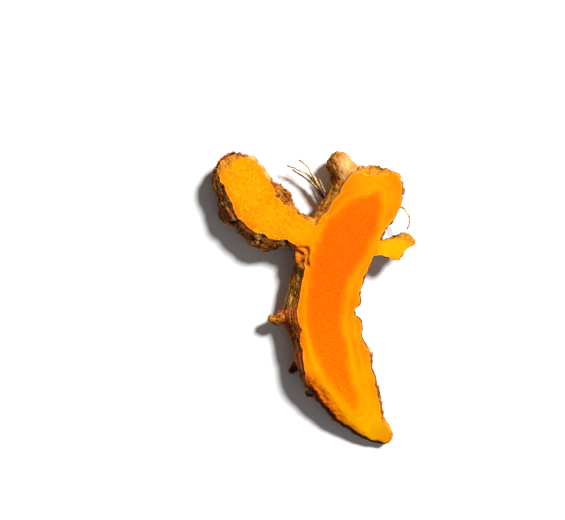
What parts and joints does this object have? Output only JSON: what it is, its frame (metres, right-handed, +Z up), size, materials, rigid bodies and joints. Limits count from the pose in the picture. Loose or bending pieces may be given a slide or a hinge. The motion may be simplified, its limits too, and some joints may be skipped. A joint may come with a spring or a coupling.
{
  "type": "turmeric rhizome half",
  "caption": "Fresh turmeric rhizome split lengthwise: a curved tapering body with a side finger, a stubby spur and a round knob, orange cut face up, ringed brown skin beneath.",
  "frame": {"origin": "middle of the bounding box, on the surface that the half lies on", "axes": "+Z up out of the cut face, +Y along the body from its tapered tip to its broad crown, +X to the side that carries the small cut spur"},
  "size_m": [0.0576, 0.0834, 0.0099],
  "materials": {
    "skin": "dry papery ringed skin, matte",
    "flesh": "moist cut root flesh, orange, faintly glossy",
    "rootlet": "dry straw-coloured root fibre, matte"
  },
  "bodies": {
    "root": {"rhizome": "skin"}
  },
  "joints": []
}
